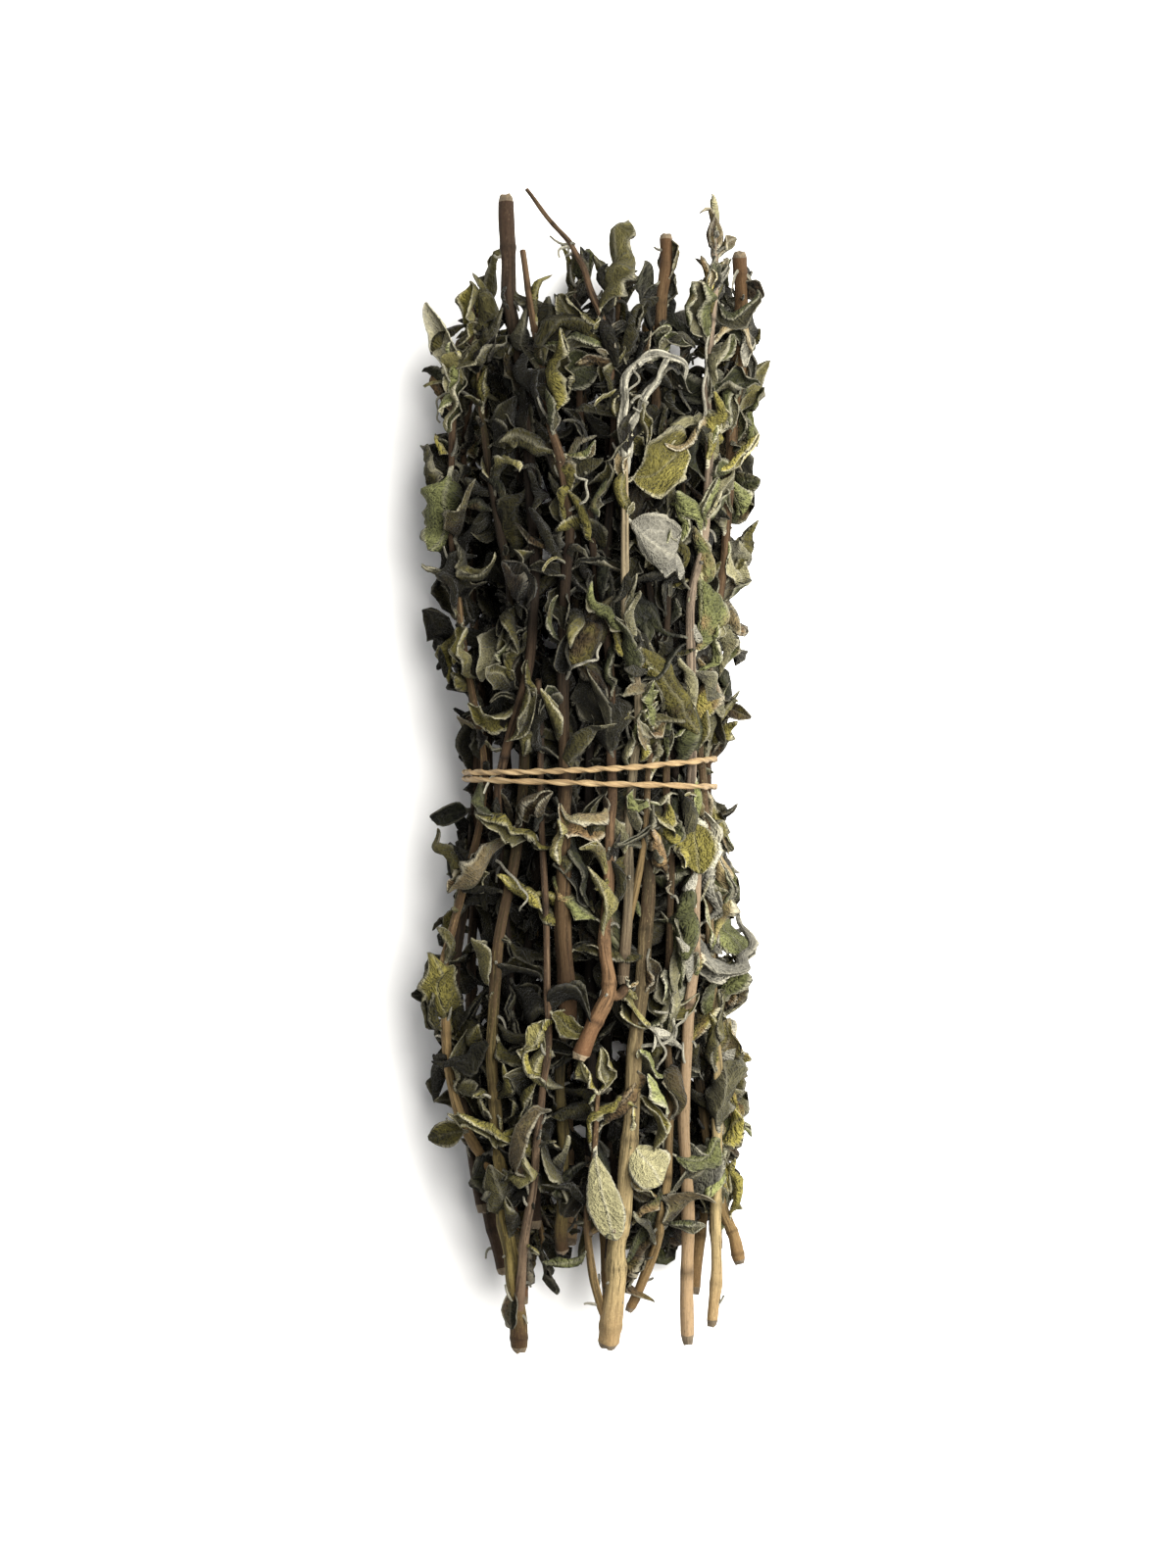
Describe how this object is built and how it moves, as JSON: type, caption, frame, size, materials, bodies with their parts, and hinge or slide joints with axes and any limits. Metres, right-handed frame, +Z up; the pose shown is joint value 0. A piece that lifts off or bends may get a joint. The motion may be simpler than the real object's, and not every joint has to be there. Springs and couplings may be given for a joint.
{
  "type": "dried sage bunch",
  "caption": "Dried garden sage tied in a long flat bunch: curled grey-green leaves on woody stems laid side by side, held at the waist by twisted raffia; lies down.",
  "frame": {"origin": "on the table, under the middle of the bunch's bounding box", "axes": "+Y along the bunch from its cut ends to its leafy tips, +Z up from the table, +X to the right seen from above with the tips away"},
  "size_m": [0.0904, 0.2966, 0.0567],
  "materials": {
    "sage_sprig": "dried leaf and bark, matt",
    "raffia": "dry twisted fibre, slightly glossy"
  },
  "bodies": {
    "root": {"sprig_left": "sage_sprig", "sprig_thick": "sage_sprig", "sprig_forked": "sage_sprig", "sprig_red": "sage_sprig", "sprig_pale": "sage_sprig", "sprig_right": "sage_sprig", "sprig_edge": "sage_sprig", "sprig_upended_right": "sage_sprig", "sprig_splayed": "sage_sprig", "sprig_green": "sage_sprig", "sprig_slanting": "sage_sprig", "sprig_upended_left": "sage_sprig", "sprig_long": "sage_sprig", "sprig_upended_middle": "sage_sprig", "sprig_far_left": "sage_sprig", "sprig_under_left": "sage_sprig", "sprig_under_upended_left": "sage_sprig", "sprig_under_middle_left": "sage_sprig", "sprig_under_middle_right": "sage_sprig", "sprig_under_upended_right": "sage_sprig", "sprig_under_right": "sage_sprig", "sprig_under_edge": "sage_sprig", "sprig_low_left": "sage_sprig", "sprig_low_right": "sage_sprig", "sprig_inner_left": "sage_sprig", "sprig_inner_middle": "sage_sprig", "raffia_tie": "raffia"}
  },
  "joints": []
}
